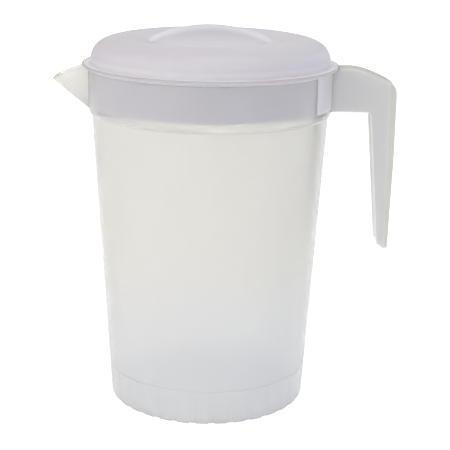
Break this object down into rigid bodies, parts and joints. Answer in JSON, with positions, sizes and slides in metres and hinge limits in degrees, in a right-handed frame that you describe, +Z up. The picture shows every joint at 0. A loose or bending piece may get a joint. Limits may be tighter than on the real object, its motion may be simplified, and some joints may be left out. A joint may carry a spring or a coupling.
{
  "type": "plastic water jug",
  "caption": "Tapered translucent plastic water jug with a collar, an open trough spout, a hooked channel handle and a domed press-in lid with a finger grip.",
  "frame": {"origin": "middle of the underside, on the jug's own axis", "axes": "+Z up along the jug's axis, +X towards the handle, -X towards the spout"},
  "size_m": [0.2019, 0.151, 0.2267],
  "materials": {
    "jug_plastic": "milky translucent natural polypropylene, soft gloss",
    "lid_plastic": "pale lavender white moulded plastic, satin"
  },
  "bodies": {
    "root": {"jug": "jug_plastic", "lid": "lid_plastic"}
  },
  "joints": []
}
